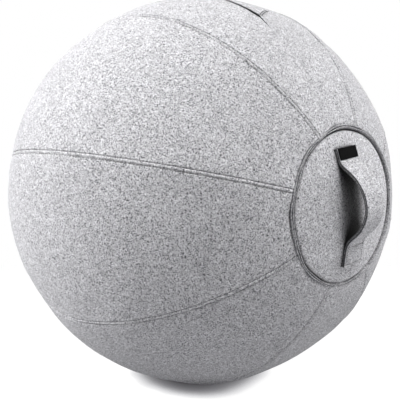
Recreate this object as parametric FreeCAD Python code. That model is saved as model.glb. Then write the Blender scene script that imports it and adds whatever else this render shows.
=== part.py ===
# Balance ball chair: an inflated seat ball in a felt cover of sewn gores, with a
# round panel on each side, a strap handle on one panel and a zip across the top.
# Millimetres, Z up. The origin is the middle of the flat patch that the ball
# stands on. The handle is on the +X side, and the seams run from side to side.
import FreeCAD
import Part
import math
import os

Vector = FreeCAD.Vector

# Ball and felt cover
ball_radius = 325.0         # over the felt, along the middle of a gore
flat_depth = 3.6            # how far the ball's own weight presses its underside flat
felt = 3.0                  # thickness of the cover's felt
sewn_gap = 0.3              # left between pieces that are sewn or laid together
gore_count = 8
first_seam = -13.6          # degrees round +X, from straight up, to the seam behind the zip
lobe_offset = 28.0          # a gore swells about a line this far out from the ball's axis
lobe_strips = 5             # flats across the width of one gore
inner_facets = 18           # flats along the hidden inner face of a gore
lobe_start = 12.0           # degrees from the axis, where a gore's blank starts

# Round panels at the two sides, and the piping round them
panel_radius = 109.0
panel_drop = 3.8            # its middle sits this far below the ball's axis
panel_sides_per_gore = 4
panel_rings = 4
piping_width = 5.5
piping_height = 4.0
piping_round = 1.4

# Strap handle, two layers of felt, in its side view from the ball's centre
strap_width = 40.0
strap_layer = 2.5
strap_roll = 7.7            # degrees that the strap's top end leans towards -Y
strap_shift = 6.4           # how far towards -Y it is sewn, off the middle of the panel
strap_top_end = 82.0        # from the middle of the panel to the strap's top end
strap_bottom_end = 83.5
loop_rise = 31.5            # height of the loop's middle layer over a strap lying flat
loop_crown_height = 4.0     # the loop is highest this far above the middle of the ball
crown_radius_top = 55.0
crown_turn_top = 48.0
crown_radius_bottom = 50.0
crown_turn_bottom = 52.0
bend_radius_top = 12.0
bend_radius_bottom = 25.0
loop_end_top = 50.0         # the part between these two planes can swing sideways
loop_end_bottom = 45.0

# Woven tag sewn across the top end of the strap
tag_width = 39.5
tag_height = 15.8
tag_thickness = 0.8
tag_end_gap = 0.2

# Zip across the top, in the middle of the first gore, as degrees from the +X side
zip_start = 57.0
zip_end = 123.0
slot_width = 10.0
tape_width = 15.0
tape_thickness = 0.6
tape_overrun = 3.0          # degrees of tape past each end of the slot
tooth_pitch = 4.1
tooth_thickness = 2.6
tooth_reach = 3.2           # from the middle of the zip to the back of a tooth
tooth_overlap = 1.0         # how far a tooth reaches past the middle
tooth_head = 1.7
tooth_neck = 1.1
stop_length = 2.6

# Slider and pull tab
slider_length = 14.0
slider_width = 8.8
slider_tail = 6.4           # width at the narrow end
slider_plate = 1.2
slider_flange = 0.6
slider_neck_width = 1.7
slider_neck_length = 3.6
running_gap = 0.3
bridge_length = 8.4
bridge_width = 1.6
bridge_bar = 1.2
pull_length = 27.0
pull_width = 7.6
pull_thickness = 1.3
pull_eye_length = 5.4
pull_corner = 2.4

# Inflated bladder and its valve
bladder_wall = 1.2
bladder_drop = 1.1          # it settles this far below the cover's centre and flattens
bladder_rings = 16
bladder_sides = 28
valve_radius = 10.0
valve_depth = 12.0
plug_radius = 5.0
plug_head_radius = 7.5
plug_head = 1.6
plug_length = 9.0

# Worked out from the sizes above
centre_height = ball_radius - flat_depth
seam_step = 360.0 / gore_count
zip_angle = first_seam + seam_step / 2
inner_radius = ball_radius - felt
inner_flat_radius = inner_radius * math.cos(math.radians((90 - lobe_start) / inner_facets))
tape_top = inner_flat_radius - sewn_gap
tape_bottom = tape_top - tape_thickness
tooth_middle = (tape_top + tape_bottom) / 2
tooth_top = tooth_middle + tooth_thickness / 2
tooth_bottom = tooth_middle - tooth_thickness / 2
slider_low = tooth_bottom - running_gap - slider_plate
slider_top = tooth_top + running_gap + slider_plate
bladder_radius = slider_low - running_gap
strap_middle_radius = ball_radius + sewn_gap + strap_layer
slider_stand_off = stop_length + running_gap + slider_length / 2
slider_rest = zip_end - math.degrees(slider_stand_off / tooth_middle)
pull_pivot = ball_radius + running_gap + pull_thickness / 2
bridge_clear = pull_pivot + pull_thickness - slider_top


def polar(radius, degrees):
    """Point in the XZ plane through the ball's centre, by its angle from +X."""
    angle = math.radians(degrees)
    return Vector(radius * math.cos(angle), 0, radius * math.sin(angle))


def closed_face(points):
    return Part.Face(Part.makePolygon(points + [points[0]]))


def turned(shape, axis, degrees):
    """Copy of a shape, turned about an axis through the ball's centre."""
    copy = shape.copy()
    copy.rotate(Vector(0, 0, 0), axis, degrees)
    return copy


def round_x(shape, degrees):
    return turned(shape, Vector(1, 0, 0), degrees)


def along_zip(shape, degrees):
    """Move a piece drawn at the top of the ball to its angle along the zip."""
    return round_x(turned(shape, Vector(0, 1, 0), 90 - degrees), zip_angle)


def save(name, shape):
    shape.translate(Vector(0, 0, centre_height))
    shape.exportStep("parts/" + name + ".step")


def above(height):
    """Everything higher than a height over the floor, for cutting with."""
    reach = 4 * ball_radius
    box = Part.makeBox(reach, reach, reach)
    box.translate(Vector(-reach / 2, -reach / 2, height - centre_height))
    return box


def wedge(start, end, apex_height):
    """Slice of space between two angles round a line along X."""
    reach = 3 * ball_radius
    corners = [Vector(-reach, 0, apex_height)]
    for degrees in (start, end):
        angle = math.radians(degrees)
        corners.append(Vector(-reach, -reach * math.sin(angle), apex_height + reach * math.cos(angle)))
    return closed_face(corners).extrude(Vector(2 * reach, 0, 0))


def spun(outline, sides):
    """Solid with flat sides, from a closed outline of (x, radius) points turned round X."""
    faces = []
    for side in range(sides):
        start = math.radians(first_seam + side * 360.0 / sides)
        end = math.radians(first_seam + (side + 1) * 360.0 / sides)
        for (x0, r0), (x1, r1) in zip(outline, outline[1:] + outline[:1]):
            corners = []
            for x, r, angle in ((x0, r0, start), (x1, r1, start), (x1, r1, end), (x0, r0, end)):
                corner = Vector(x, -r * math.sin(angle), r * math.cos(angle))
                if all(corner.distanceToPoint(other) > 0.001 for other in corners):
                    corners.append(corner)
            if len(corners) > 2:
                faces.append(closed_face(corners))
    solid = Part.Solid(Part.Shell(faces))
    if solid.Volume < 0:
        solid.reverse()
    return solid


def arc_points(radius, start, end, steps):
    """Outline points (x, radius) on a circle round the ball's centre."""
    points = []
    for step in range(steps + 1):
        point = polar(radius, start + (end - start) * step / steps)
        points.append((point.x, max(point.z, 0)))
    return points


def panel_angle(edge_radius):
    return math.degrees(math.asin(edge_radius / ball_radius))


def lobe_strip(radius, facets):
    """Flat-sided slab with the gore's curve from end to end, straight up from the lobe axis."""
    if facets:
        corners = arc_points(radius, lobe_start, 180 - lobe_start, facets)
        rim = Part.makePolygon([Vector(x, 0, z) for x, z in corners]).Edges
    else:
        rim = [Part.Arc(polar(radius, lobe_start), polar(radius, 90), polar(radius, 180 - lobe_start)).toShape()]
    start = polar(radius, lobe_start)
    end = polar(radius, 180 - lobe_start)
    foot_start = Vector(start.x, 0, lobe_offset)
    foot_end = Vector(end.x, 0, lobe_offset)
    base = Part.makePolygon([end, foot_end, foot_start, start]).Edges
    half_width = radius / 4
    face = Part.Face(Part.Wire(rim + base))
    face.translate(Vector(0, -half_width, 0))
    return face.extrude(Vector(0, 2 * half_width, 0))


def lobe(radius, facets):
    """One gore as a solid: strips set side by side round the lobe axis, cut at the two seams."""
    half_gore = math.radians(seam_step / 2)
    across = (radius - lobe_offset) / math.sin(math.pi - half_gore)
    half_turn = half_gore + math.asin(lobe_offset / across)
    strip_turn = 2 * math.degrees(half_turn) / lobe_strips
    slab = lobe_strip(radius, facets)
    strips = []
    for number in range(lobe_strips):
        start = strip_turn * (number - lobe_strips / 2)
        end = start + strip_turn
        middle = (start + end) / 2
        strip = slab.copy()
        strip.rotate(Vector(0, 0, lobe_offset), Vector(1, 0, 0), middle)
        if number == 0:
            start -= strip_turn
        if number == lobe_strips - 1:
            end += strip_turn
        strips.append(strip.common(wedge(start, end, lobe_offset)))
    whole = strips[0].multiFuse(strips[1:])
    return whole.common(wedge(-seam_step / 2, seam_step / 2, 0)).removeSplitter()


def lowered(shape):
    """Take a shape round the +X axis down to where the panel's middle is."""
    return turned(shape, Vector(0, 1, 0), math.degrees(math.asin(panel_drop / ball_radius)))


def panel_cone(edge_radius):
    """Flat-sided cone from the ball's centre that takes in a round panel of this radius."""
    angle = panel_angle(edge_radius)
    tip = polar(2 * ball_radius, angle)
    return lowered(spun([(0, 0), (tip.x, tip.z), (tip.x, 0)], gore_count * panel_sides_per_gore))


def mirrored(shape):
    """The same piece on the far side of the ball."""
    return shape.mirror(Vector(0, 0, 0), Vector(1, 0, 0))


def cover_gores():
    """Felt gores, flat where the ball stands, with the zip's slot in the first one."""
    outer = lobe(ball_radius, 0)
    inner = lobe(inner_radius, inner_facets)
    cone = panel_cone(panel_radius + sewn_gap)
    slot = zip_slot()
    gores = []
    for number in range(gore_count):
        angle = zip_angle + number * seam_step
        hollow = round_x(inner, angle).common(above(felt))
        gore = round_x(outer, angle).common(above(0)).cut(hollow)
        gore = gore.cut(cone).cut(mirrored(cone))
        if number == 0:
            gore = gore.cut(slot)
        gores.append(gore)
    return gores


def zip_slot():
    """Opening along the middle of the first gore."""
    start = polar(ball_radius, zip_start)
    end = polar(ball_radius, zip_end)
    box = Part.makeBox(start.x - end.x, slot_width, 2 * ball_radius)
    box.translate(Vector(end.x, -slot_width / 2, 0))
    return round_x(box, zip_angle)


def panel():
    """Round felt panel that closes the gores' ends."""
    edge = panel_angle(panel_radius)
    outer = arc_points(ball_radius, 0, edge, panel_rings)
    inner = arc_points(inner_radius, edge, 0, panel_rings)
    return lowered(spun(outer + inner, gore_count * panel_sides_per_gore))


def piping():
    """Raised band that covers the joint between the panel and the gores."""
    low = ball_radius + 2 * sewn_gap
    high = low + piping_height
    start = panel_angle(panel_radius)
    end = panel_angle(panel_radius + piping_width)
    shoulder = math.degrees(piping_round / ball_radius)
    outline = [
        polar(low, start),
        polar(high - piping_round, start),
        polar(high, start + shoulder),
        polar(high, end - shoulder),
        polar(high - piping_round, end),
        polar(low, end),
    ]
    ring = spun([(point.x, point.z) for point in outline], gore_count * panel_sides_per_gore)
    return lowered(ring)


# Strap handle, drawn in the XZ plane and then leaned over by its roll
class Bend:
    """Round stretch of the strap's middle line. Outward is +1 where the centre is below the strap."""

    def __init__(self, centre, radius, start, end, outward):
        self.centre = centre
        self.radius = radius
        self.start = start
        self.end = end
        self.outward = outward

    def point(self, angle, offset):
        radius = self.radius + self.outward * offset
        return self.centre + Vector(radius * math.cos(angle), 0, radius * math.sin(angle))

    def edge(self, offset):
        middle = (self.start + self.end) / 2
        points = [self.point(angle, offset) for angle in (self.start, middle, self.end)]
        return Part.Arc(*points).toShape()


def crown_end(radius, turn, side):
    """Where the loop's crown turns into its straight leg, and the angle there."""
    centre = Vector(strap_middle_radius + loop_rise - radius, 0, loop_crown_height)
    return centre, side * math.radians(turn)


def leg_bend(crown, bend_radius, side):
    """Bend that takes a straight leg down onto the panel, tangent to both."""
    angle = crown.end if side > 0 else crown.start
    outward = Vector(math.cos(angle), 0, math.sin(angle))
    along = Vector(-side * math.sin(angle), 0, side * math.cos(angle))
    base = crown.point(angle, 0) + outward * bend_radius
    reach = strap_middle_radius + bend_radius
    half = base.dot(along)
    distance = -half - math.sqrt(half * half - base.dot(base) + reach * reach)
    if distance < 0:
        distance = -half + math.sqrt(half * half - base.dot(base) + reach * reach)
    centre = base + along * distance
    touch_leg = math.atan2(-outward.z, -outward.x)
    touch_panel = math.atan2(-centre.z, -centre.x)
    return centre, touch_leg, touch_panel


def near_turn(angle, other):
    """The same angle, in the turn nearest to another angle."""
    while angle - other > math.pi:
        angle -= 2 * math.pi
    while other - angle > math.pi:
        angle += 2 * math.pi
    return angle


def strap_bends():
    """The strap's round stretches, from its top end to its bottom end."""
    top_centre, top_angle = crown_end(crown_radius_top, crown_turn_top, 1)
    bottom_centre, bottom_angle = crown_end(crown_radius_bottom, crown_turn_bottom, -1)
    crown_top = Bend(top_centre, crown_radius_top, 0, top_angle, 1)
    crown_bottom = Bend(bottom_centre, crown_radius_bottom, bottom_angle, 0, 1)
    centre, leg, panel_touch = leg_bend(crown_top, bend_radius_top, 1)
    bend_top = Bend(centre, bend_radius_top, near_turn(panel_touch, leg), leg, -1)
    top_touch = math.atan2(centre.z, centre.x)
    centre, leg, panel_touch = leg_bend(crown_bottom, bend_radius_bottom, -1)
    bend_bottom = Bend(centre, bend_radius_bottom, leg, near_turn(panel_touch, leg), -1)
    bottom_touch = math.atan2(centre.z, centre.x)
    origin = Vector(0, 0, 0)
    top_tip = math.asin(strap_top_end / strap_middle_radius)
    bottom_tip = -math.asin(strap_bottom_end / strap_middle_radius)
    tab_top = Bend(origin, strap_middle_radius, top_tip, top_touch, 1)
    tab_bottom = Bend(origin, strap_middle_radius, bottom_touch, bottom_tip, 1)
    return [
        tab_top,
        bend_top,
        Bend(crown_top.centre, crown_top.radius, crown_top.end, crown_top.start, 1),
        Bend(crown_bottom.centre, crown_bottom.radius, crown_bottom.end, crown_bottom.start, 1),
        bend_bottom,
        tab_bottom,
    ]


def strap_line(offset):
    """Edges of one face of the strap, at a height over its middle line."""
    edges = []
    last = None
    for bend in strap_bends():
        first = bend.point(bend.start, offset)
        if last is not None and last.distanceToPoint(first) > 0.001:
            edges.append(Part.LineSegment(last, first).toShape())
        edges.append(bend.edge(offset))
        last = bend.point(bend.end, offset)
    return edges


def strap_layer_solid(low, high):
    """One layer of felt, the whole length of the strap."""
    upper = Part.Wire(strap_line(high))
    lower = Part.Wire(strap_line(low))
    ends = []
    for index in (0, -1):
        ends.append(Part.LineSegment(lower.OrderedVertexes[index].Point, upper.OrderedVertexes[index].Point).toShape())
    face = Part.Face(Part.Wire(Part.__sortEdges__(upper.Edges + lower.Edges + ends)))
    face.translate(Vector(0, -strap_width / 2 - strap_shift, 0))
    return face.extrude(Vector(0, strap_width, 0))


def between(low, high):
    """Everything between two heights along the strap."""
    reach = 4 * ball_radius
    box = Part.makeBox(reach, reach, high - low)
    box.translate(Vector(0, -reach / 2, low))
    return box


def strap_pieces():
    """Each layer as a top tab, a loop that can swing, and a bottom tab."""
    far = ball_radius
    cuts = {
        "loop": between(-loop_end_bottom, loop_end_top),
        "tab_top": between(loop_end_top + sewn_gap, far),
        "tab_bottom": between(-far, -loop_end_bottom - sewn_gap),
    }
    layers = {
        "outer": strap_layer_solid(0, strap_layer),
        "lining": strap_layer_solid(-strap_layer, 0),
    }
    pieces = {}
    for place, cut in cuts.items():
        for layer, solid in layers.items():
            pieces["handle_" + place + "_" + layer] = round_x(solid.common(cut), strap_roll)
    return pieces


def ring_sector(low, high, start, end, side_low, side_high):
    """Curved bar in the zip's plane, between two radii and two angles from +X."""
    middle = (start + end) / 2
    outside = Part.Arc(polar(high, start), polar(high, middle), polar(high, end)).toShape()
    inside = Part.Arc(polar(low, end), polar(low, middle), polar(low, start)).toShape()
    end_line = Part.LineSegment(polar(high, end), polar(low, end)).toShape()
    start_line = Part.LineSegment(polar(low, start), polar(high, start)).toShape()
    face = Part.Face(Part.Wire([outside, end_line, inside, start_line]))
    face.translate(Vector(0, side_low, 0))
    return face.extrude(Vector(0, side_high - side_low, 0))


def tag():
    """Blank woven tag, lying on the strap's top tab."""
    low = strap_middle_radius + strap_layer
    tip = strap_top_end - tag_end_gap
    start = math.degrees(math.asin((tip - tag_height) / low))
    end = math.degrees(math.asin(tip / low))
    near = -tag_width / 2 - strap_shift
    bar = ring_sector(low, low + tag_thickness, start, end, near, near + tag_width)
    return round_x(bar, strap_roll)


# Zip
def zip_tape(side):
    """Woven tape under the felt, from the backs of the teeth outwards. Side -1 is the front one."""
    near, far = sorted((side * tooth_reach, side * (tooth_reach + tape_width)))
    tape = ring_sector(tape_bottom, tape_top, zip_start - tape_overrun, zip_end + tape_overrun, near, far)
    return round_x(tape, zip_angle)


def tooth(side):
    """Moulded tooth at the top of the ball: a neck, and a wider head that fills the other row's gap."""
    back = side * tooth_reach
    neck_end = -side * (tooth_overlap - tooth_head)
    front = -side * tooth_overlap
    outline = [
        Vector(-tooth_head / 2, back, tooth_bottom),
        Vector(-tooth_neck / 2, neck_end, tooth_bottom),
        Vector(-tooth_head / 2, front, tooth_bottom),
        Vector(tooth_head / 2, front, tooth_bottom),
        Vector(tooth_neck / 2, neck_end, tooth_bottom),
        Vector(tooth_head / 2, back, tooth_bottom),
    ]
    return closed_face(outline).extrude(Vector(0, 0, tooth_thickness))


def zip_teeth(side):
    """Row of teeth up to the closed slider's wedge, the two rows half a pitch apart."""
    pitch = math.degrees(tooth_pitch / tooth_middle)
    first = zip_start + math.degrees((stop_length + tooth_pitch) / tooth_middle)
    if side > 0:
        first += pitch / 2
    last = slider_rest + math.degrees((slider_length / 2 - slider_neck_length - tooth_head) / tooth_middle)
    count = int((last - first) / pitch) + 1
    single = tooth(side)
    return Part.makeCompound([along_zip(single, first + number * pitch) for number in range(count)])


def zip_near_stop():
    """Block that joins the two rows at the handle end."""
    end = zip_start + math.degrees(stop_length / tooth_middle)
    block = ring_sector(tooth_bottom, tooth_top, zip_start, end, -tooth_reach, tooth_reach)
    return round_x(block, zip_angle)


def zip_far_stop(side):
    """Small block on each tape that the closed slider runs up to."""
    near, far = sorted((side * (tooth_reach - tooth_head), side * tooth_reach))
    start = zip_end - math.degrees(stop_length / tooth_middle)
    block = ring_sector(tooth_bottom, tooth_top, start, zip_end, near, far)
    return round_x(block, zip_angle)


def slider_plan(height):
    """Slider's outline seen from above: wide at the wedge end, rounded at the narrow end."""
    nose = -slider_length / 2
    tail = slider_length / 2
    wide = slider_width / 2
    narrow = slider_tail / 2
    shoulder = nose + slider_length / 3
    round_start = tail - narrow / 2
    outline = [
        Part.makePolygon([
            Vector(round_start, narrow, height),
            Vector(shoulder, wide, height),
            Vector(nose, wide, height),
            Vector(nose, -wide, height),
            Vector(shoulder, -wide, height),
            Vector(round_start, -narrow, height),
        ]),
        Part.Arc(
            Vector(round_start, -narrow, height),
            Vector(tail, 0, height),
            Vector(round_start, narrow, height),
        ).toShape(),
    ]
    return Part.Face(Part.Wire(outline[0].Edges + [outline[1]]))


def slider_bridge():
    """Arch that holds the pull tab."""
    half = bridge_length / 2
    outside = Part.makeBox(bridge_length, bridge_width, bridge_clear + bridge_bar)
    outside.translate(Vector(-half, -bridge_width / 2, slider_top))
    inside = Part.makeBox(bridge_length - 2 * bridge_bar, 2 * bridge_width, bridge_clear)
    inside.translate(Vector(-half + bridge_bar, -bridge_width, slider_top))
    arch = outside.cut(inside)
    crown = slider_top + bridge_clear + bridge_bar / 2
    top_edges = [edge for edge in arch.Edges
                 if edge.BoundBox.ZMin > crown and edge.BoundBox.XLength < 0.01]
    return arch.makeFillet(bridge_bar * 0.8, top_edges)


def slider():
    """Two plates joined by the wedge that parts the rows, with edge flanges and the pull's bridge."""
    lower = slider_plan(slider_low).extrude(Vector(0, 0, slider_plate))
    upper = slider_plan(slider_top - slider_plate).extrude(Vector(0, 0, slider_plate))
    gap = slider_top - slider_low - 2 * slider_plate
    neck = Part.makeBox(slider_neck_length, slider_neck_width, gap)
    neck.translate(Vector(-slider_length / 2, -slider_neck_width / 2, slider_low + slider_plate))
    body = lower.fuse(neck).fuse(upper)
    drop = slider_top - slider_plate - tape_top - running_gap
    for side in (-1, 1):
        flange = Part.makeBox(slider_length / 3, slider_flange, drop)
        inner_side = min(side * slider_width / 2, side * (slider_width / 2 - slider_flange))
        flange.translate(Vector(-slider_length / 2, inner_side, tape_top + running_gap))
        body = body.fuse(flange)
    return body.fuse(slider_bridge()).removeSplitter()


def pull_tab():
    """Flat tab whose round end bar turns under the bridge."""
    bar = pull_thickness / 2
    low = pull_pivot - bar
    plate = Part.makeBox(pull_length, pull_width, pull_thickness)
    plate.translate(Vector(0, -pull_width / 2, low))
    corners = [edge for edge in plate.Edges
               if edge.BoundBox.ZLength > pull_thickness / 2 and edge.BoundBox.XMin > pull_length / 2]
    plate = plate.makeFillet(pull_corner, corners)
    eye_width = bridge_width + 4 * running_gap
    eye = Part.makeBox(pull_eye_length, eye_width, 2 * pull_thickness)
    eye.translate(Vector(bar, -eye_width / 2, low - pull_thickness / 2))
    grip = Part.makeCylinder(pull_width / 5, 2 * pull_thickness)
    grip.translate(Vector(pull_length - pull_width / 2, 0, low - pull_thickness / 2))
    round_bar = Part.makeCylinder(bar, pull_width, Vector(0, -pull_width / 2, pull_pivot), Vector(0, 1, 0))
    return plate.cut(eye).cut(grip).fuse(round_bar).removeSplitter()


# Bladder and valve, inside the cover
def ball_of_flats(radius):
    ball = spun(arc_points(radius, 0, 180, bladder_rings), bladder_sides)
    ball.translate(Vector(0, 0, -bladder_drop))
    return ball


def valve_place(shape):
    """Move a piece drawn at the top of the ball to the middle of the zip."""
    return along_zip(shape, (zip_start + zip_end) / 2)


def valve_top():
    return bladder_radius * math.cos(math.pi / bladder_sides) - bladder_drop - running_gap


def standing_cylinder(radius, low, high):
    return Part.makeCylinder(radius, high - low, Vector(0, 0, low))


def bladder():
    """Inflated bladder, flat where it stands on the felt, with the valve's boss in its wall."""
    outer = ball_of_flats(bladder_radius).common(above(felt + sewn_gap))
    inner = ball_of_flats(bladder_radius - bladder_wall).common(above(felt + sewn_gap + bladder_wall))
    top = valve_top()
    boss = standing_cylinder(valve_radius, top - valve_depth, top)
    hole = standing_cylinder(plug_radius, top - 2 * valve_depth, 2 * top)
    step = standing_cylinder(plug_head_radius + sewn_gap, top - plug_head, 2 * top)
    shell = outer.cut(inner).fuse(valve_place(boss))
    return shell.cut(valve_place(hole)).cut(valve_place(step))


def valve_plug():
    """Stopper, pushed into the boss until its head is flush."""
    top = valve_top()
    neck = top - plug_head + sewn_gap
    head = standing_cylinder(plug_head_radius, neck, top)
    stem = standing_cylinder(plug_radius - sewn_gap, top - plug_length, neck)
    return valve_place(head.fuse(stem))


def build():
    os.makedirs("parts", exist_ok=True)
    for number, gore in enumerate(cover_gores(), start=1):
        save("cover_gore_%d" % number, gore)
    save("panel_handle_side", panel())
    save("panel_far_side", mirrored(panel()))
    save("piping_handle_side", piping())
    save("piping_far_side", mirrored(piping()))
    for name, piece in strap_pieces().items():
        save(name, piece)
    save("handle_tag", tag())
    for name, side in (("front", -1), ("back", 1)):
        save("zip_tape_" + name, zip_tape(side))
        save("zip_teeth_" + name, zip_teeth(side))
        save("zip_far_stop_" + name, zip_far_stop(side))
    save("zip_near_stop", zip_near_stop())
    save("zip_slider", along_zip(slider(), slider_rest))
    save("zip_pull", along_zip(pull_tab(), slider_rest))
    save("bladder", bladder())
    save("valve_plug", valve_plug())


build()
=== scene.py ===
# Looks of the balance ball chair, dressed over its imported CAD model. Metres, Z up.
import bpy
import math
import numpy as np
from mathutils import Matrix, Vector
from mathutils.kdtree import KDTree


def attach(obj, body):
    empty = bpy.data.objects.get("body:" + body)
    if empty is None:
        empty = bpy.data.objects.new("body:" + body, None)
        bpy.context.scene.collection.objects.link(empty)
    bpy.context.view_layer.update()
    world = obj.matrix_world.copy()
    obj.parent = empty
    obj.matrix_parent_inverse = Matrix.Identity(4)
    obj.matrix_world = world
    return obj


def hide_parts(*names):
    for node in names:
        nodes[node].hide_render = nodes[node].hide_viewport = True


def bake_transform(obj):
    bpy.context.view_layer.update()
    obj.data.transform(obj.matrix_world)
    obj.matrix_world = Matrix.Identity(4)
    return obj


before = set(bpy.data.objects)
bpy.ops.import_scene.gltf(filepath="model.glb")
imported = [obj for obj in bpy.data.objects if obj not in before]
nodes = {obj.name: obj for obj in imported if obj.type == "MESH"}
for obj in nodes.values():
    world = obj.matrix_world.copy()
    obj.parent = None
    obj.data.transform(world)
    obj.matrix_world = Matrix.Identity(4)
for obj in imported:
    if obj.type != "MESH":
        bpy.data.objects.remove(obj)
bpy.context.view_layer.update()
scene = bpy.context.scene

# Sizes shared with the part's source
mm = 0.001
ball_radius = 325 * mm
flat_depth = 3.6 * mm
centre_height = ball_radius - flat_depth
gore_count = 8
seam_step = 360 / gore_count
zip_angle = 8.9
lobe_offset = 28 * mm
panel_radius = 109 * mm
panel_drop = 3.8 * mm
edge_width = 5.5 * mm
edge_height = 4.0 * mm
strap_width = 40 * mm
strap_layer = 2.5 * mm
strap_roll = 7.7
strap_shift = 6.4 * mm
crown_height = 4 * mm
zip_start = 57.0
zip_end = 123.0
tape_top = 320.78 * mm
tape_thickness = 0.6 * mm

# Where the gores bulge and where they lie flatter, by the angle from +X in degrees
lobed_angle = 108
lobed_spread = 45
flat_offset = 75 * mm

# Sewing: the seams, the ridge that the seam allowance makes, and the stitches beside it
seam_depth = 1.0 * mm
seam_half_width = 1.0 * mm
seam_clearance = 0.02       # degrees left between two gores, below the surface
allowance_depth = 5 * mm
allowance_offset = 2.9 * mm
allowance_rise = 0.5 * mm
allowance_width = 1.3 * mm
stitch_offset = 5.2 * mm
stitch_dip = 0.9 * mm
stitch_dip_width = 1.1 * mm
stitch_pitch = 5.4 * mm
stitch_length = 4.0 * mm
stitch_lift = 0.25 * mm
stitch_start = 3.0          # degrees from a gore's end to its first stitch
thread_radius = 0.42 * mm

ball_centre = np.array([0.0, 0.0, centre_height])
panel_edge_angle = math.degrees(math.asin(panel_radius / ball_radius))


# Mesh helpers
def from_angles(radius, t, phi):
    """Points by the angle t from +X and the turn phi round +X from straight up, in degrees."""
    t = np.radians(t)
    phi = np.radians(phi)
    x = radius * np.cos(t)
    y = -radius * np.sin(t) * np.sin(phi)
    z = radius * np.sin(t) * np.cos(phi)
    return np.stack(np.broadcast_arrays(x, y, z), axis=-1) + ball_centre


def add_mesh(name, points, faces, smooth=True):
    mesh = bpy.data.meshes.new(name)
    mesh.from_pydata([tuple(p) for p in points], [], faces)
    mesh.update()
    mesh.polygons.foreach_set("use_smooth", [smooth] * len(mesh.polygons))
    piece = bpy.data.objects.new(name, mesh)
    scene.collection.objects.link(piece)
    return piece


def grid_faces(rows, columns, wrap_columns=False, start=0):
    column_count = columns if wrap_columns else columns - 1
    i, j = np.meshgrid(np.arange(rows - 1), np.arange(column_count), indexing="ij")
    next_j = (j + 1) % columns
    quads = np.stack([
        i * columns + j,
        i * columns + next_j,
        (i + 1) * columns + next_j,
        (i + 1) * columns + j,
    ], axis=-1)
    return (quads.reshape(-1, 4) + start).tolist()


def grid_piece(name, points, wrap_columns=False):
    rows, columns = points.shape[:2]
    faces = grid_faces(rows, columns, wrap_columns)
    return add_mesh(name, points.reshape(-1, 3), faces)


def lowered(points):
    """Takes points round the +X axis down to where the panel's middle is."""
    tilt = math.asin(panel_drop / ball_radius)
    x = points[..., 0] * math.cos(tilt) + (points[..., 2] - centre_height) * math.sin(tilt)
    z = (points[..., 2] - centre_height) * math.cos(tilt) - points[..., 0] * math.sin(tilt)
    return np.stack([x, points[..., 1], z + centre_height], axis=-1)


def bump_shape(distance, width):
    return np.exp(-(distance / width) ** 2)


def rest_on_floor(points):
    """The underside is pressed flat where the ball stands."""
    points[..., 2] = np.maximum(points[..., 2], 0.0)
    return points


# Materials
def new_material(name, roughness):
    material = bpy.data.materials.new(name)
    material.use_nodes = True
    shader = material.node_tree.nodes["Principled BSDF"]
    shader.inputs["Roughness"].default_value = roughness
    return material, material.node_tree, shader


def noise(tree, scale, detail=3.0, distortion=0.0, stretch=(1, 1, 1), turn=(0, 0, 0)):
    """Noise in the object's own coordinates. Its scale is in features per metre."""
    place = tree.nodes.new("ShaderNodeTexCoord")
    mapping = tree.nodes.new("ShaderNodeMapping")
    mapping.inputs["Scale"].default_value = stretch
    mapping.inputs["Rotation"].default_value = turn
    texture = tree.nodes.new("ShaderNodeTexNoise")
    texture.inputs["Scale"].default_value = scale
    texture.inputs["Detail"].default_value = detail
    texture.inputs["Distortion"].default_value = distortion
    tree.links.new(place.outputs["Object"], mapping.inputs["Vector"])
    tree.links.new(mapping.outputs["Vector"], texture.inputs["Vector"])
    return texture.outputs["Fac"]


def ramp(tree, value, stops):
    """Maps a value to colours through stops of (place, colour)."""
    node = tree.nodes.new("ShaderNodeValToRGB")
    while len(node.color_ramp.elements) < len(stops):
        node.color_ramp.elements.new(0.5)
    for element, (place, colour) in zip(node.color_ramp.elements, stops):
        element.position = place
        element.color = (*colour, 1)
    tree.links.new(value, node.inputs["Fac"])
    return node.outputs["Color"]


def mix(tree, kind, share, first, second):
    node = tree.nodes.new("ShaderNodeMix")
    node.data_type = "RGBA"
    node.blend_type = kind
    node.inputs[0].default_value = share
    tree.links.new(first, node.inputs[6])
    tree.links.new(second, node.inputs[7])
    return node.outputs[2]


def set_surface(tree, shader, colour, relief, strength, distance):
    """Gives a shader its colour, and a bump from the fine relief."""
    tree.links.new(colour, shader.inputs["Base Color"])
    node = tree.nodes.new("ShaderNodeBump")
    node.inputs["Strength"].default_value = strength
    node.inputs["Distance"].default_value = distance
    tree.links.new(relief, node.inputs["Height"])
    tree.links.new(node.outputs["Normal"], shader.inputs["Normal"])


def grey(level, blue=0.0):
    return (level, level * (1 - 0.2 * blue), level * (1 + blue))


def painted_crevice_shade(tree, reach, darkest, start=0.12):
    """Painted shade: darkens the colour of what lies close under or beside another surface, from an ambient
    occlusion node.
    """
    node = tree.nodes.new("ShaderNodeAmbientOcclusion")
    node.inputs["Distance"].default_value = reach
    node.samples = 12
    return ramp(tree, node.outputs["AO"], [(start, grey(darkest)), (0.86, grey(1.0))])


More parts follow.
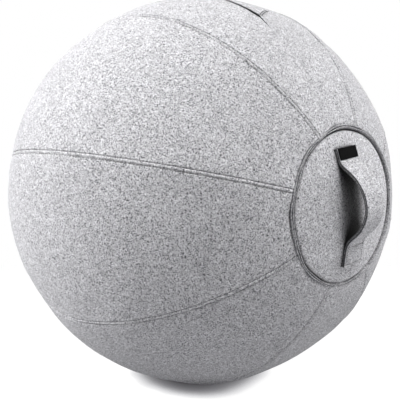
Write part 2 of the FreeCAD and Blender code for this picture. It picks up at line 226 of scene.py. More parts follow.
def felt(name, level, contrast, shade_reach, edge_shade=0.7):
    """Heathered wool felt: matted fibres in mixed greys, with a soft nap, and painted shade near other
    surfaces.
    """
    material, tree, shader = new_material(name, 0.95)
    clumps = noise(tree, 620, 5, 0.8)
    fibres = noise(tree, 800, 3, 1.6, (1, 0.3, 1), (0.4, 0.2, 0.7))
    cross_fibres = noise(tree, 800, 3, 1.6, (0.3, 1, 1), (0.3, 0.6, 0.2))
    drift = noise(tree, 14, 2)
    clump_colour = ramp(tree, clumps, [
        (0.34, grey(level * (1 - 1.9 * contrast), 0.09)),
        (0.48, grey(level * (1 - 0.3 * contrast), 0.05)),
        (0.56, grey(level * (1 + 0.4 * contrast), 0.018)),
        (0.68, grey(min(level * (1 + 1.2 * contrast), 0.93), 0.006)),
    ])
    fibre_tone = ramp(tree, fibres, [(0.36, grey(0.62)), (0.58, grey(1.0))])
    cross_tone = ramp(tree, cross_fibres, [(0.36, grey(0.66)), (0.58, grey(1.0))])
    mottle = noise(tree, 170, 3, 0.5)
    mottle_tone = ramp(tree, mottle, [(0.34, grey(0.78)), (0.62, grey(1.0))])
    drift_tone = ramp(tree, drift, [(0.30, grey(0.95)), (0.70, grey(1.0))])
    colour = clump_colour
    # The last two tones are painted shade: one darkens what lies within shade_reach of another surface, as
    # under the strap, and one darkens narrow seams and edges down to edge_shade.
    for share, tone in (
        (0.75, fibre_tone),
        (0.75, cross_tone),
        (1.0, mottle_tone),
        (1.0, drift_tone),
        (1.0, painted_crevice_shade(tree, shade_reach, 0.012, 0.42)),
        (1.0, painted_crevice_shade(tree, 0.004, edge_shade)),
    ):
        colour = mix(tree, "MULTIPLY", share, colour, tone)
    nap = mix(tree, "MIX", 0.5, fibre_tone, clump_colour)
    set_surface(tree, shader, colour, nap, 0.45, 0.0011)
    shader.inputs["Sheen Weight"].default_value = 0.10
    shader.inputs["Sheen Roughness"].default_value = 0.6
    shader.inputs["Specular IOR Level"].default_value = 0.15
    return material


def cut_felt(name, level):
    """Raw cut edge of felt: darker, with loose fibres and open layers, and painted shade in its gaps."""
    material, tree, shader = new_material(name, 1.0)
    layers = noise(tree, 640, 5, 1.2)
    pits = noise(tree, 1300, 3, 0.4)
    layer_colour = ramp(tree, layers, [
        (0.38, grey(level * 0.25, 0.06)),
        (0.50, grey(level, 0.04)),
        (0.62, grey(min(level * 1.5, 0.9), 0.02)),
    ])
    pit_tone = ramp(tree, pits, [(0.35, grey(0.55)), (0.60, grey(1.0))])
    colour = mix(tree, "MULTIPLY", 0.9, layer_colour, pit_tone)
    # Painted shade in the narrow gaps between the layers and beside them.
    colour = mix(tree, "MULTIPLY", 1.0, colour, painted_crevice_shade(tree, 0.006, 0.12))
    set_surface(tree, shader, colour, layer_colour, 0.8, 0.0012)
    shader.inputs["Sheen Weight"].default_value = 0.08
    shader.inputs["Specular IOR Level"].default_value = 0.1
    return material


def thread_material(name, level):
    """Spun sewing thread, with the twist of its plies."""
    material, tree, shader = new_material(name, 0.7)
    plies = noise(tree, 1600, 2, 0.3, (1, 0.3, 1), (0.5, 0.3, 0.8))
    colour = ramp(tree, plies, [(0.35, grey(level * 0.6)), (0.65, grey(level * 1.25))])
    set_surface(tree, shader, colour, plies, 0.5, 0.0003)
    return material


def woven(name, level, cells, contrast=0.35, roughness=0.75):
    """Plain narrow weave, from two crossed bands in the object's own coordinates."""
    material, tree, shader = new_material(name, roughness)
    place = tree.nodes.new("ShaderNodeTexCoord")
    bands = []
    for direction in ("X", "Z"):
        wave = tree.nodes.new("ShaderNodeTexWave")
        wave.bands_direction = direction
        wave.inputs["Scale"].default_value = cells
        wave.inputs["Distortion"].default_value = 0.6
        wave.inputs["Detail"].default_value = 1.5
        tree.links.new(place.outputs["Object"], wave.inputs["Vector"])
        bands.append(wave.outputs["Color"])
    weave = mix(tree, "MULTIPLY", 1.0, *bands)
    colour = ramp(tree, weave, [
        (0.0, grey(level * (1 - contrast))),
        (0.6, grey(level * (1 + contrast))),
    ])
    set_surface(tree, shader, colour, weave, 0.5, 0.0004)
    shader.inputs["Specular IOR Level"].default_value = 0.04
    return material


def moulded(name, level, roughness=0.42):
    """Moulded plastic with a faint grain and handling marks."""
    material, tree, shader = new_material(name, roughness)
    grain = noise(tree, 1800, 3)
    drift = noise(tree, 60, 2)
    colour = ramp(tree, drift, [(0.3, grey(level * 0.85)), (0.7, grey(level * 1.15))])
    rough = ramp(tree, grain, [(0.3, grey(roughness * 0.85)), (0.7, grey(roughness * 1.2))])
    tree.links.new(rough, shader.inputs["Roughness"])
    set_surface(tree, shader, colour, grain, 0.15, 0.0002)
    return material


def cast_metal(name):
    """Plated die-cast metal, worn a little brighter in patches."""
    material, tree, shader = new_material(name, 0.3)
    shader.inputs["Metallic"].default_value = 1.0
    wear = noise(tree, 420, 4, 0.8)
    brushed = noise(tree, 900, 2, 0.2, (0.2, 1, 1))
    colour = ramp(tree, wear, [(0.35, (0.42, 0.42, 0.43)), (0.70, (0.66, 0.66, 0.67))])
    rough = ramp(tree, brushed, [(0.3, grey(0.24)), (0.7, grey(0.42))])
    tree.links.new(rough, shader.inputs["Roughness"])
    set_surface(tree, shader, colour, brushed, 0.12, 0.0002)
    return material


def vinyl(name, level):
    """Thick soft PVC with a satin skin."""
    material, tree, shader = new_material(name, 0.38)
    drift = noise(tree, 25, 2)
    grain = noise(tree, 700, 3)
    colour = ramp(tree, drift, [(0.3, grey(level * 0.9, 0.03)), (0.7, grey(level * 1.1, 0.03))])
    set_surface(tree, shader, colour, grain, 0.12, 0.0004)
    shader.inputs["Coat Weight"].default_value = 0.15
    return material


# The third and fourth numbers set painted shade: how far it reaches from other surfaces and how dark it gets
# at edges; on the panel and strap it paints the shadow under the strap.
cover_felt = felt("cover_felt", 0.80, 0.52, 0.012)
panel_felt = felt("panel_felt", 0.85, 0.50, 0.05, 0.15)
strap_felt = felt("strap_felt", 0.81, 0.46, 0.06, 0.3)
# The panels' raised raw edges are darker than the felt, partly their own colour and partly painted shade
# along them; the strap's raw edge, at 0.15, is a copy of the same cut felt made dark as painted shade.
cut_edge = cut_felt("cut_edge", 0.56)
strap_edge_painted_shade = cut_felt("strap_edge_painted_shade", 0.15)
cover_thread = thread_material("cover_thread", 0.30)
tab_thread = thread_material("tab_thread", 0.10)
label_weave = woven("label_weave", 0.004, 1500, 0.5, 0.8)
tape_weave = woven("tape_weave", 0.07, 900)
tooth_plastic = moulded("tooth_plastic", 0.06)
slider_metal = cast_metal("slider_metal")
bladder_vinyl = vinyl("bladder_vinyl", 0.30)
plug_vinyl = vinyl("plug_vinyl", 0.80)


def paint(piece, *materials):
    piece.data.materials.clear()
    for material in materials:
        piece.data.materials.append(material)


def dress(piece, material):
    """A piece of one material that is fixed to the ball."""
    paint(piece, material)
    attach(piece, "ball")


# Felt cover
def lobe_at(t):
    """Gores bulge between their seams round the ball's middle, and lie flatter toward the panels."""
    flatter = np.clip(np.abs(t - lobed_angle) / lobed_spread, 0, 1)
    flatter = flatter ** 2 * (3 - 2 * flatter)
    return lobe_offset * (1 - flatter) - flat_offset * flatter


def swell(t, psi):
    """Distance from the X axis of a gore's middle surface."""
    reach = ball_radius * np.sin(np.radians(t))
    lean = np.radians(psi)
    lobe = lobe_at(t)
    side = lobe * np.sin(lean)
    return lobe * np.cos(lean) + np.sqrt((reach - lobe) ** 2 - side ** 2)


def cover_radius(t, psi):
    """Distance from the ball's centre, with the sewing pressed into the felt."""
    reach = ball_radius * np.sin(np.radians(t))
    from_low = np.radians(psi + seam_step / 2) * reach
    from_high = np.radians(seam_step / 2 - psi) * reach
    spread = swell(t, psi)
    height = ball_radius * np.cos(np.radians(t))
    radius = np.sqrt(spread ** 2 + height ** 2)
    radius = radius - seam_depth * bump_shape(from_low, seam_half_width)
    radius = radius - seam_depth * bump_shape(from_high, seam_half_width)
    radius = radius - stitch_dip * bump_shape(from_low - stitch_offset, stitch_dip_width)
    radius = radius + allowance_rise * bump_shape(from_low - allowance_offset, allowance_width)
    return radius


def lean_of(t, psi):
    """The polar angle that keeps a point at its own height along X."""
    spread = swell(t, psi)
    height = ball_radius * np.cos(np.radians(t))
    return np.degrees(np.arctan2(spread, height))


# Cloth simulation of the cover, for its soft creases. The relief is what it moves beyond an even puff.
cloth_inset = 2 * mm
relief_voxel = 10 * mm
relief_frames = 20
relief_cap = 3.0 * mm
relief_gain = 0.55
held_by_seam = 6 * mm
held_by_panel = 7 * mm
held_by_floor = 12 * mm
puff_band_angle = 6         # the even puff is averaged over bands this many degrees long
puff_band_width = 9 * mm    # and this wide, side by side from the seam
puff_bands = 40
relief_neighbours = 8
relief_fade = 0.7


def seam_distance(t, phi):
    """Distance along the surface to the nearest seam between gores."""
    turn = (phi - zip_angle + seam_step / 2) % seam_step
    turn = np.minimum(turn, seam_step - turn)
    return np.radians(turn) * ball_radius * np.sin(np.radians(t))


def angles_of(points):
    spoke = points - ball_centre
    length = np.linalg.norm(spoke, axis=-1)
    t = np.degrees(np.arccos(np.clip(spoke[..., 0] / length, -1, 1)))
    phi = np.degrees(np.arctan2(-spoke[..., 1], spoke[..., 2]))
    return length, t, phi


def mesh_points(mesh):
    flat = np.empty(len(mesh.vertices) * 3)
    mesh.vertices.foreach_get("co", flat)
    return flat.reshape(-1, 3)


def simulated_cover():
    """Blows the cover up as cloth held along its seams, and returns its points and their outward moves."""
    t = np.linspace(1, 179, 90)[:, None]
    phi = np.linspace(0, 360, 180, endpoint=False)[None, :]
    skin = grid_piece("cover_cloth", from_angles(ball_radius - cloth_inset, t, phi), wrap_columns=True)
    bpy.context.view_layer.objects.active = skin
    remesh = skin.modifiers.new("remesh", "REMESH")
    remesh.mode = "VOXEL"
    remesh.voxel_size = relief_voxel
    bpy.ops.object.modifier_apply(modifier="remesh")
    start = mesh_points(skin.data)
    length, t, phi = angles_of(start)
    from_panel = np.minimum(np.abs(t - panel_edge_angle), np.abs(180 - t - panel_edge_angle))
    on_gores = (t > panel_edge_angle) & (t < 180 - panel_edge_angle)
    held = (seam_distance(t, phi) < held_by_seam) & on_gores
    held |= np.radians(from_panel) * ball_radius < held_by_panel
    held |= start[:, 2] < held_by_floor
    group = skin.vertex_groups.new(name="held")
    group.add([int(i) for i in np.nonzero(held)[0]], 1.0, "ADD")
    cloth = skin.modifiers.new("cloth", "CLOTH")
    cloth.settings.quality = 4
    cloth.settings.mass = 0.3
    cloth.settings.vertex_group_mass = "held"
    cloth.settings.effector_weights.gravity = 0
    cloth.settings.use_pressure = True
    cloth.settings.uniform_pressure_force = 4
    cloth.settings.shear_stiffness = 8
    cloth.settings.bending_stiffness = 2
    cloth.settings.shrink_min = -0.035
    cloth.collision_settings.use_collision = False
    cloth.point_cache.frame_start = 1
    cloth.point_cache.frame_end = relief_frames
    for frame_number in range(1, relief_frames + 1):
        scene.frame_set(frame_number)
    bpy.ops.object.modifier_apply(modifier="cloth")
    moved = np.linalg.norm(mesh_points(skin.data) - ball_centre, axis=-1) - length
    scene.frame_set(1)
    bpy.data.objects.remove(skin)
    return start, t, phi, moved


def cover_relief():
    """A tree of points on the ball and the relief at each, after the even puff is taken off."""
    start, t, phi, moved = simulated_cover()
    band_row = (t / puff_band_angle).astype(int)
    band = band_row * puff_bands + (seam_distance(t, phi) / puff_band_width).astype(int)
    total = np.bincount(band, moved)
    count = np.maximum(np.bincount(band), 1)
    relief = np.clip((moved - (total / count)[band]) * relief_gain, -relief_cap, relief_cap)
    tree = KDTree(len(start))
    for i, point in enumerate(start):
        tree.insert(point, i)
    tree.balance()
    return tree, relief


relief_tree, relief_values = cover_relief()


def with_relief(points):
    """Moves cover points out or in by the simulated relief, smoothly between its points."""
    if relief_tree is None:
        return points
    flat = points.reshape(-1, 3)
    spoke = flat - ball_centre
    unit = spoke / np.linalg.norm(spoke, axis=-1, keepdims=True)
    moves = np.zeros(len(flat))
    for i, direction in enumerate(unit):
        near = relief_tree.find_n(ball_centre + direction * ball_radius, relief_neighbours)
        distances = np.array([distance for _, _, distance in near])
        weights = np.exp(-(distances / relief_voxel) ** 2 * relief_fade)
        moves[i] = (weights @ relief_values[[index for _, index, _ in near]]) / weights.sum()
    return (flat + unit * moves[:, None]).reshape(points.shape)


# Gores: where the columns of points stand beside a seam, and the space between rows
seam_steps = np.array([0.0, 0.5, 1.0, 1.6, 2.4, 3.4, 4.4, 5.2, 6.0, 7.0, 8.8, 12.0]) * mm
middle_columns = 26
row_step = 3.2 * mm
gore_start = panel_edge_angle - 1.4
tuck_depth = 4.5 * mm
tuck_width = 1.6 * mm
panel_middle = lowered(np.array([ball_radius, 0, centre_height])) - ball_centre


def tucked(points):
    """The gores' ends run in under the round panels."""
    spoke = points - ball_centre
    length = np.linalg.norm(spoke, axis=-1, keepdims=True)
    toward_panel = np.abs(spoke[..., :1]) * panel_middle[0] + spoke[..., 2:] * panel_middle[2]
    angle = np.arccos(np.clip(toward_panel / length / ball_radius, -1, 1))
    inside = (math.radians(panel_edge_angle) - angle) * ball_radius + tuck_width
    depth = tuck_depth * np.clip(inside / tuck_width, 0, 1)
    return ball_centre + spoke * (1 - depth / length)


def gore_rows():
    """Angles from +X of a gore's rows of points, as a column."""
    count = int(math.radians(180 - 2 * gore_start) * ball_radius / row_step)
    return np.linspace(gore_start, 180 - gore_start, count)[:, None]


def gore_columns(t, start_psi, end_psi):
    """Turns of the points across a stretch of gore. They crowd at its two edges."""
    reach = ball_radius * np.sin(np.radians(t))
    low = np.radians(start_psi) * reach
    high = np.radians(end_psi) * reach
    near_low = low + seam_steps[None, :]
    near_high = high - seam_steps[None, ::-1]
    share = np.linspace(0, 1, middle_columns + 2)[None, 1:-1]
    middle = near_low[:, -1:] + (near_high[:, :1] - near_low[:, -1:]) * share
    side = np.concatenate([near_low, middle, near_high], axis=1)
    return np.degrees(side / reach)


def allowance(t, psi, radius, middle_phi, side_sign):
    """The edge of a gore, turned in at the seam on one side of it."""
    column = [-1] if side_sign > 0 else [0]
    seam_phi = middle_phi + side_sign * (seam_step / 2 - seam_clearance)
    return from_angles(radius[:, column] - allowance_depth, lean_of(t, psi[:, column]), seam_phi)


def gore(number):
    middle_phi = zip_angle + seam_step * (number - 1)
    t = gore_rows()
    psi = gore_columns(t, -seam_step / 2, seam_step / 2)
    radius = cover_radius(t, psi)
    surface = from_angles(radius, lean_of(t, psi), middle_phi + psi)
    low_edge = allowance(t, psi, radius, middle_phi, -1)
    high_edge = allowance(t, psi, radius, middle_phi, 1)
    points = np.concatenate([low_edge, surface, high_edge], axis=1)
    return grid_piece(f"gore_{number}", rest_on_floor(tucked(with_relief(points))))


# The zip's opening: its gap, the dart at each end, its raised crest and the felt's lips
zip_slot_half = 3.2 * mm
slot_overrun = 0.6          # degrees that the gap runs past the zip
slot_round = 0.8            # degrees over which it closes
dart_gap = 0.7 * mm
dart_length = 6.0           # degrees that the dart runs on past the zip
dart_overlap = 3            # degrees that it starts before the zip's end
dart_bend = 2.4             # degrees that its end turns to the zip's front
dart_dip = 1.2 * mm
dart_dip_width = 1.8 * mm
crest_rise = 3.4 * mm
crest_wave = 100 * mm
crest_fade_back = 90 * mm
crest_fade_front = 40 * mm
crest_overrun = 7           # degrees past the dart where the crest ends
crest_run_out = 9           # degrees over which it rises
lip_roll = 0.8 * mm
lip_roll_width = 1.4 * mm
lip_stitch_offset = 6 * mm
lip_stitch_dip = 0.6 * mm
lip_stitch_width = 1.0 * mm
lip_profile = ((1.0 * mm, 0.0), (2.6 * mm, 0.4 * mm), (3.8 * mm, 1.6 * mm))     # (drop, set back)


def into_zip(t):
    """Degrees from the zip's nearer end, and below 0 past it."""
    return np.minimum(t - zip_start, zip_end - t)


def slot_half_width(t):
    """Half the gap between the zip's felt lips, closing at both ends."""
    inside = np.clip((into_zip(t) + slot_overrun) / slot_round, 0, 1)
    slot = zip_slot_half * np.sqrt(inside * (2 - inside))
    return np.maximum(slot, dart_gap * np.sqrt(dart_depth(t)))


def zip_open_share(t):
    """How far open the zip's gap is, from 0 to 1."""
    return np.clip(slot_half_width(t) / zip_slot_half, 0, 1)


def dart_depth(t):
    """The closed seam past each end of the zip, from 1 at the zip to 0 where it ends."""
    return np.clip(1 + into_zip(t) / dart_length, 0, 1) * (into_zip(t) < dart_overlap)


def dart_turn(t):
    """The dart bends away from the zip's line, toward the zip's front side."""
    return dart_bend * np.clip(-into_zip(t) / dart_length, 0, 1)


def crest_share(t):
    """The zip's thick seam stands up as a low crest, which fades beyond the dart."""
    share = np.clip((into_zip(t) + dart_length + crest_overrun) / crest_run_out, 0, 1)
    return share ** 2 * (3 - 2 * share)


def crest_behind(from_gap):
    """The cover behind the zip slopes away from its crest in a long wave."""
    return crest_rise * np.cos(math.pi * from_gap / crest_wave) * np.exp(-from_gap / crest_fade_back)


def zip_gore_radius(t, psi, side_sign):
    """Distance from the ball's centre on one side of the zip."""
    reach = ball_radius * np.sin(np.radians(t))
    from_gap = np.abs(np.radians(psi - dart_turn(t)) * reach) - slot_half_width(t)
    open_here = zip_open_share(t)
    radius = cover_radius(t, psi)
    if side_sign < 0:
        radius = radius + crest_share(t) * crest_behind(from_gap)
    else:
        radius = radius + crest_share(t) * crest_rise * np.exp(-from_gap / crest_fade_front)
        radius = radius - dart_dip * dart_depth(t) * bump_shape(from_gap, dart_dip_width)
        radius = radius - lip_roll * open_here * bump_shape(from_gap, lip_roll_width)
    stitch_line = bump_shape(from_gap - lip_stitch_offset, lip_stitch_width)
    return radius - lip_stitch_dip * open_here * stitch_line


def zip_lip(t, psi, radius, side_sign):
    """The felt turned in along the zip, as columns of points going down from the surface."""
    column = [0] if side_sign > 0 else [-1]
    reach = ball_radius * np.sin(np.radians(t))
    turned_in = np.maximum(zip_open_share(t), dart_depth(t))
    lip = []
    for drop, back in lip_profile:
        set_back = side_sign * np.degrees(back / reach) * zip_open_share(t)
        lip_phi = zip_angle + psi[:, column] + set_back
        lip.append(from_angles(radius[:, column] - drop * turned_in, lean_of(t, psi[:, column]), lip_phi))
    return lip


def zip_gore_half(name, side_sign):
    """One half of the zip's gore. The two halves part along the zip."""
    t = gore_rows()
    gap = np.degrees(slot_half_width(t) / (ball_radius * np.sin(np.radians(t))))
    if side_sign < 0:
        psi = gore_columns(t, -seam_step / 2, dart_turn(t) - gap)
    else:
        psi = gore_columns(t, dart_turn(t) + gap, seam_step / 2)
    radius = zip_gore_radius(t, psi, side_sign)
    surface = from_angles(radius, lean_of(t, psi), zip_angle + psi)
    lip = zip_lip(t, psi, radius, side_sign)
    seam_edge = allowance(t, psi, radius, zip_angle, side_sign)
    if side_sign > 0:
        points = np.concatenate(lip[::-1] + [surface, seam_edge], axis=1)
    else:
        points = np.concatenate([seam_edge, surface] + lip, axis=1)
    return grid_piece(name, rest_on_floor(tucked(with_relief(points))))


# Thread stitches: slim capsules, with their rings by share of the length and of the thread's width
stitch_sides = 6
ring_places = np.array([0.0, 0.08, 0.3, 0.7, 0.92, 1.0])
ring_widths = np.array([0.15, 0.8, 1.0, 1.0, 0.8, 0.15])
ring_sinks = np.array([1.0, 0.4, 0.0, 0.0, 0.4, 1.0]) * 0.5 * mm
stitch_flatness = 0.8


def add_stitch(points, faces, centres, outwards, radius):
    """Adds one stitch to a mesh's lists, round the centres of its rings."""
    run = centres[-1] - centres[0]
    start = len(points)
    for centre, outward, width in zip(centres, outwards, ring_widths):
        across = np.cross(outward, run / np.linalg.norm(run))
        for side in range(stitch_sides):
            angle = 2 * math.pi * side / stitch_sides
            offset = across * math.cos(angle) + outward * math.sin(angle) * stitch_flatness
            points.append(centre + offset * radius * width)
    faces += grid_faces(len(ring_places), stitch_sides, wrap_columns=True, start=start)


def thread_stitches(name, ends, outwards, radius=thread_radius):
    """Straight stitches between pairs of points."""
    points = []
    faces = []
    for (first, last), outward in zip(ends, outwards):
        centres = first + (last - first) * ring_places[:, None]
        add_stitch(points, faces, centres, [outward] * len(centres), radius)
    return add_mesh(name, points, faces)


def topstitch(number):
    """The row of stitches that holds the seam allowance, beside the seam before a gore."""
    middle_phi = zip_angle + seam_step * (number - 1)
    first = gore_start + stitch_start
    points = []
    faces = []
    for middle_t in np.arange(first, 180 - first, math.degrees(stitch_pitch / ball_radius)):
        t = middle_t + (ring_places - 0.5) * math.degrees(stitch_length / ball_radius)
        psi = -seam_step / 2 + np.degrees(stitch_offset / (ball_radius * np.sin(np.radians(t))))
        radius = cover_radius(t, psi) + stitch_lift - ring_sinks
        centres = from_angles(radius, t, middle_phi + psi)
        spokes = centres - ball_centre
        outwards = spokes / np.linalg.norm(spokes, axis=1)[:, None]
        add_stitch(points, faces, centres, outwards, thread_radius)
    return add_mesh(f"topstitch_{number}", points, faces)


for number in range(1, gore_count + 1):
    if number == 1:
        pieces = [zip_gore_half("gore_1_back", -1), zip_gore_half("gore_1_front", 1)]
    else:
        pieces = [gore(number)]
    for piece in pieces:
        dress(piece, cover_felt)
        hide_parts(f"cover_gore_{number}")
    dress(topstitch(number), cover_thread)


# Round side panels and their raised raw edges
panel_sides = 144
panel_puff = 0.8 * mm
panel_dip = 1.6 * mm
panel_dip_width = 2.2 * mm
degree_length = 5.67 * mm   # one degree along the ball's surface
edge_middle = panel_radius + edge_width / 2
edge_corner = 0.5 * mm
edge_root = 3 * mm
edge_lift = 0.3 * mm
edge_roughness = 0.35 * mm


def panel_disc(name, mirror):
    """A panel's felt, puffed a little and pulled down at its sewn edge."""
    from_edge = np.array([0.9, 0.6, 0.3, 0.0])
    t = np.concatenate([np.linspace(0.5, panel_edge_angle - 1.2, 30), panel_edge_angle - from_edge])[:, None]
    phi = np.linspace(0, 360, panel_sides, endpoint=False)[None, :]
    puff = panel_puff * (1 - (t / panel_edge_angle) ** 2)
    dip = panel_dip * bump_shape((panel_edge_angle - t) * degree_length, panel_dip_width)
    points = lowered(from_angles(ball_radius + puff - dip, t, phi))
    centre = lowered(from_angles(ball_radius + panel_puff, 0, 0))
    if mirror:
        points[..., 0] *= -1
        centre[..., 0] *= -1
    rows, columns = points.shape[:2]
    faces = grid_faces(rows, columns, wrap_columns=True)
    apex = rows * columns
    for j in range(columns):
        faces.append((j, apex, (j + 1) % columns))
    return add_mesh(name, np.concatenate([points.reshape(-1, 3), centre.reshape(-1, 3)]), faces)


# How far the raw edge stands up, round the panel: (degrees round from the top, share of its height)
edge_heights = [(0, 0.95), (12, 0.8), (26, 0.3), (52, 0.3), (68, 0.5), (110, 0.6), (145, 0.5),
                (170, 0.3), (200, 0.35), (225, 0.6), (250, 1.0), (330, 1.0), (360, 0.95)]


def edge_layer(name, inner, outer, mirror, wave):
    """One felt layer's raw edge standing up round a panel."""
    phi = np.arange(360.0)
    angle = np.radians(phi)
    rough = 0.6 * np.sin(7 * angle + wave) + 0.5 * np.sin(17 * angle + 2 * wave) + 0.4 * np.sin(43 * angle)
    share = np.interp(phi, *np.array(edge_heights).T)
    rise = (edge_height - edge_corner) * share + edge_roughness * rough
    top = ball_radius + edge_lift + rise
    lean = 0.7 * mm * np.sin(9 * angle) + 0.25 * mm * np.sin(14 * angle + 2 * wave)
    outline = [(inner, False, 0), (inner, True, edge_corner), (inner + edge_corner, True, 0)]
    outline += [(outer - edge_corner, True, 0), (outer, True, edge_corner), (outer, False, 0)]
    points = []
    for reach, is_top, drop in outline:
        across = edge_middle + (reach - edge_middle) * (0.5 + 0.5 * share) + lean * is_top
        t = np.degrees(np.arcsin(across / ball_radius))
        radius = np.where(is_top, top - drop, ball_radius - edge_root)
        points.append(from_angles(radius, t, phi))
    points = lowered(np.stack(points, axis=0))
    if mirror:
        points[..., 0] *= -1
    return grid_piece(name, points, wrap_columns=True)


for side_name, mirror in (("handle_side", False), ("far_side", True)):
    disc = panel_disc("panel_felt_" + side_name, mirror)
    dress(disc, panel_felt)
    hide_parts("panel_" + side_name)
    for layer_name, inner, outer, wave in (
        ("inner", panel_radius + 0.4 * mm, edge_middle - 0.45 * mm, 0.4),
        ("outer", edge_middle + 0.45 * mm, panel_radius + edge_width, 2.1),
    ):
        layer = edge_layer(f"edge_{layer_name}_{side_name}", inner, outer, mirror, wave)
        dress(layer, cut_edge)
        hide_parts("piping_" + side_name)


# Strap handle. Its middle line is seen from the side, in millimetres: (out from the ball's centre, height)
tab_corner = 6 * mm
rest_start = 45 * mm        # the strap bends round the ball from this height
rest_run = 20 * mm
cut_roughness = 0.18 * mm
strap_corner = 0.45 * mm
strap_gap = 0.12 * mm
flat_columns = 17
strap_points = [
    (317.4, 82.0), (320.7, 68.0), (322.9, 62.0), (327.2, 57.2), (335.0, 50.6), (346.2, 39.6), (355.9, 22.6),
    (359.3, 4.0), (356.2, -13.1), (347.5, -28.2), (339.5, -36.4), (331.6, -43.0), (326.2, -49.5),
    (322.7, -57.5), (320.3, -69.0), (317.0, -83.5),
]


def smooth_line(knots, steps):
    """Points along a smooth curve through the knots, evenly spread between each two."""
    knots = np.array(knots, float)
    before = 2 * knots[0] - knots[1]
    after = 2 * knots[-1] - knots[-2]
    padded = np.vstack([before, knots, after])
    line = []
    for i in range(1, len(padded) - 2):
        p0, p1, p2, p3 = padded[i - 1], padded[i], padded[i + 1], padded[i + 2]
        for share in np.arange(steps) / steps:
            a = 2 * p1
            b = (p2 - p0) * share
            c = (2 * p0 - 5 * p1 + 4 * p2 - p3) * share ** 2
            d = (3 * p1 - p0 - 3 * p2 + p3) * share ** 3
            line.append((a + b + c + d) / 2)
    line.append(knots[-1])
    return np.array(line)


strap_line = smooth_line(strap_points, 10) * mm
tangent = np.gradient(strap_line, axis=0)
tangent /= np.linalg.norm(tangent, axis=1)[:, None]
strap_normal = np.stack([-tangent[:, 1], tangent[:, 0]], axis=1)


def strap_place(line_point, normal, across, lift):
    """A point of the strap, from its place on the middle line, across its width and off its face."""
    rest = np.clip((np.abs(line_point[..., 1]) - rest_start) / rest_run, 0, 1)
    across = across - strap_shift
    drop = rest * across ** 2 / (2 * ball_radius)
    x = line_point[..., 0] + normal[..., 0] * (lift - drop)
    along = line_point[..., 1] + normal[..., 1] * (lift - drop)
    roll = math.radians(strap_roll)
    y = across * math.cos(roll) - along * math.sin(roll)
    z = across * math.sin(roll) + along * math.cos(roll)
    return np.stack([x, y, z + centre_height], axis=-1)


def on_strap(height, across, lift):
    """A point of the strap, or a row of them across it, at a height along its middle line."""
    heights = strap_line[::-1, 1]
    x = np.interp(height, heights, strap_line[::-1, 0])
    normal_x = np.interp(height, heights, strap_normal[::-1, 0])
    normal_z = np.interp(height, heights, strap_normal[::-1, 1])
    return strap_place(np.array([x, height]), np.array([normal_x, normal_z]), across, lift)


def end_faces(rows, columns):
    """The two faces that close the first and last rows of a wrapped grid."""
    last_point = rows * columns - 1
    return [tuple(range(columns)), tuple(range(last_point, last_point - columns, -1))]


def strap_section(low, high):
    """Outline of one felt layer across the strap, as points of (across, lift)."""
    half = strap_width / 2
    middle = (low + high) / 2
    flats = np.linspace(-half + strap_corner, half - strap_corner, flat_columns)
    section = [(across, high) for across in flats]
    section += [(half, high - strap_corner), (half, middle), (half, low + strap_corner)]
    section += [(across, low) for across in flats[::-1]]
    section += [(-half, low + strap_corner), (-half, middle), (-half, high - strap_corner)]
    return np.array(section)


def strap_layer_piece(name, low, high, first, last, closed_end):
    """One felt layer of a stretch of strap, with softened cut edges."""
    half = strap_width / 2
    section = strap_section(low, high)
    at_edge = np.abs(section[:, 0]) >= half - strap_corner
    line = strap_line[first:last + 1]
    normal = strap_normal[first:last + 1]
    rows = len(line)
    from_end = np.linalg.norm(line - strap_line[-1], axis=1)
    into_corner = np.clip(tab_corner - from_end, 0, tab_corner)
    narrowing = tab_corner - np.sqrt(tab_corner ** 2 - into_corner ** 2)
    points = np.zeros((rows, len(section), 3))
    for i in range(rows):
        ragged = cut_roughness * math.sin(i * 1.7 + low * 9000)
        across = section[:, 0] + np.sign(section[:, 0]) * at_edge * ragged
        across = np.where(across > 0, across * (1 - narrowing[i] / half), across)
        points[i] = strap_place(line[i], normal[i], across, section[:, 1])
    count = len(section)
    faces = grid_faces(rows, count, wrap_columns=True)
    faces.append(end_faces(rows, count)[closed_end])
    piece = add_mesh(name, points.reshape(-1, 3), faces)
    paint(piece, strap_felt, strap_edge_painted_shade)
    # The cut sides and the closed end take the edge material, which is painted shade.
    cut_columns = {flat_columns, flat_columns + 1, 2 * flat_columns + 3, 2 * flat_columns + 4}
    for polygon in piece.data.polygons:
        column = polygon.index % count
        is_end = polygon.index >= (rows - 1) * count
        polygon.material_index = 1 if is_end or column in cut_columns else 0
        polygon.use_smooth = not is_end
    return piece


crown = int(np.argmin(np.abs(strap_line[:, 1] - crown_height)))
last_row = len(strap_line) - 1
for layer_name, low, high in (("outer", strap_gap, strap_layer), ("lining", -strap_layer, -strap_gap)):
    top = strap_layer_piece(f"strap_{layer_name}_top", low, high, 0, crown, 0)
    bottom = strap_layer_piece(f"strap_{layer_name}_bottom", low, high, crown, last_row, 1)
    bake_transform(top)
    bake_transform(bottom)
    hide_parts(f"handle_tab_top_{layer_name}", f"handle_loop_{layer_name}")
    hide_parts(f"handle_tab_bottom_{layer_name}")

# Blank woven tag, sewn flat on the strap and thinner at its two ends
tag_low = 66.0 * mm
tag_high = 81.8 * mm
tag_half = 19.6 * mm
tag_thickness = 0.8 * mm
tag_rows = 13
tag_columns = 21


